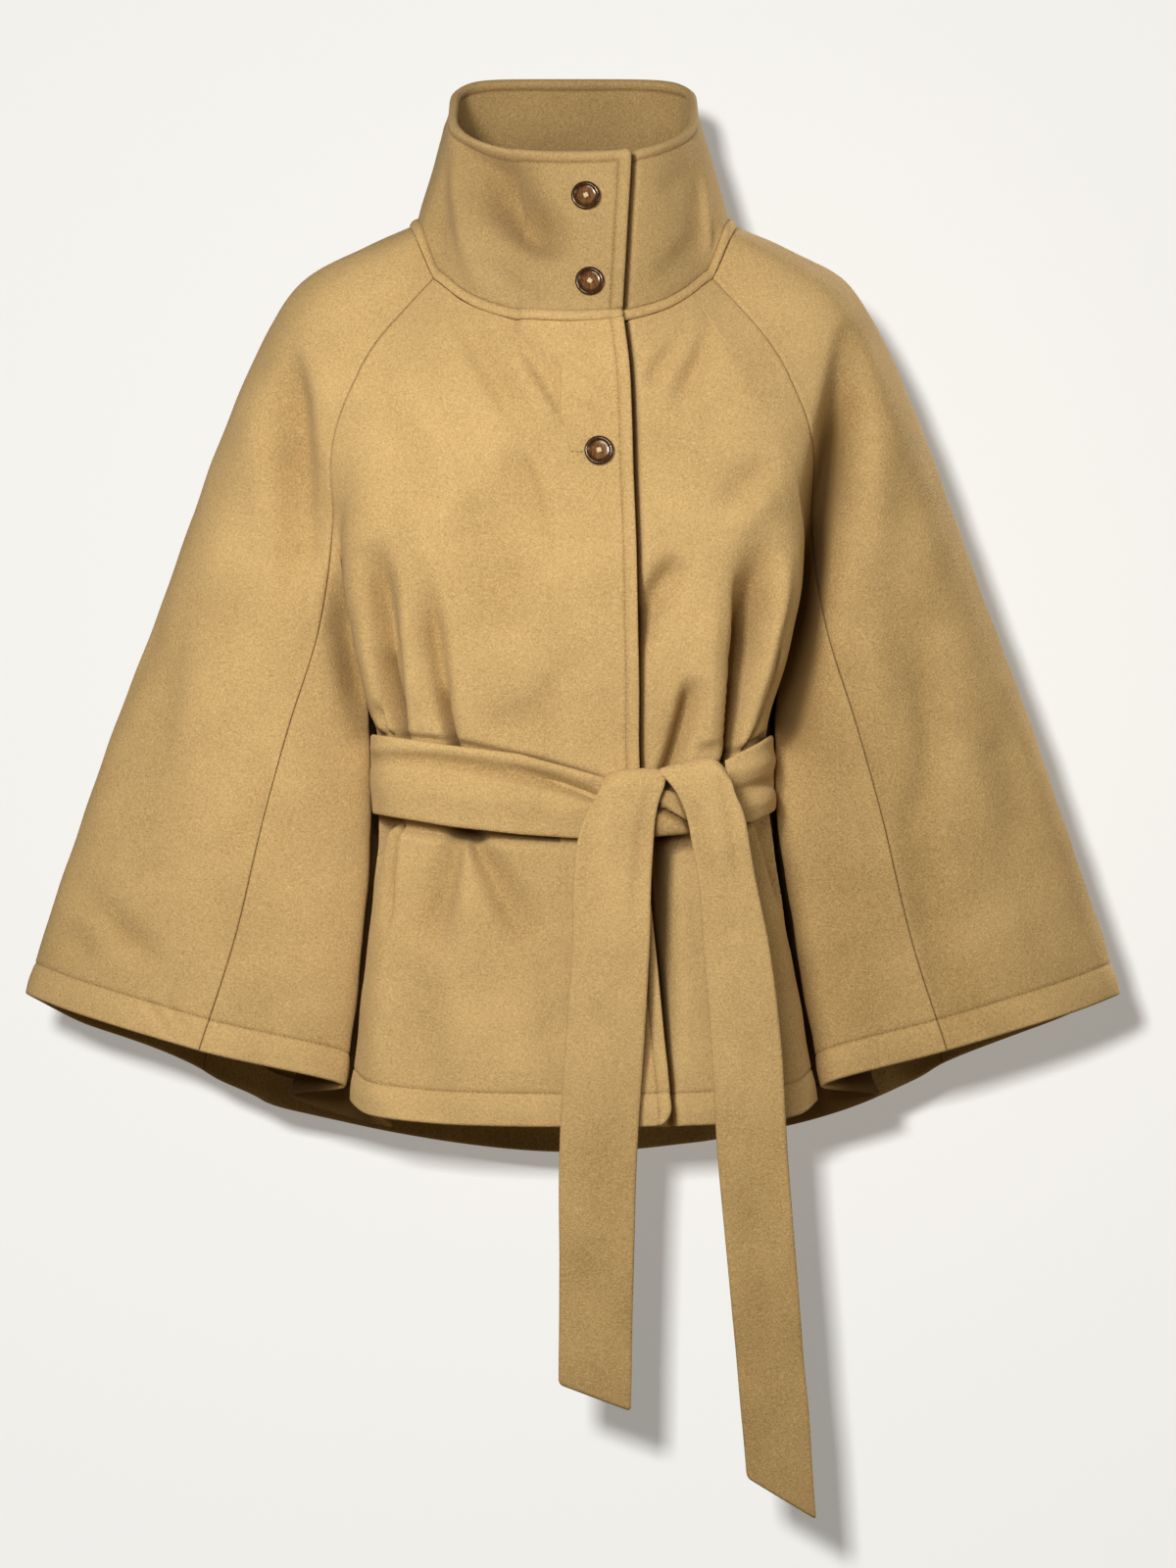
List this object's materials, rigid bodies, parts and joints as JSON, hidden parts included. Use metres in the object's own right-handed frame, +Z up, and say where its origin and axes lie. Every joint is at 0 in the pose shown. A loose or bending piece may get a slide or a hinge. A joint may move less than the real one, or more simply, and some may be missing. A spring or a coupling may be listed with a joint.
{
  "type": "wool cape",
  "caption": "Belted wool cape with funnel collar, raglan sleeves, deep side folds, flared skirt and a knotted belt with long hanging ends.",
  "frame": {"origin": "middle of the neck base, where a wearer's neck and shoulders hold the cape up", "axes": "+Z up, the front faces -Y, +X is the wearer's left"},
  "size_m": [0.8378, 0.2972, 1.092],
  "materials": {
    "coat_wool": "brushed felted wool coating, camel, matt with a short nap",
    "horn": "polished brown horn"
  },
  "bodies": {
    "root": {"front_right": "coat_wool", "front_left": "coat_wool", "sleeve_left": "coat_wool", "sleeve_right": "coat_wool", "back": "coat_wool", "collar": "coat_wool", "neck_seam": "coat_wool", "belt": "coat_wool", "knot": "coat_wool", "tail_left": "coat_wool", "tail_right": "coat_wool", "button_top": "horn", "button_neck": "horn", "button_chest": "horn"}
  },
  "joints": []
}
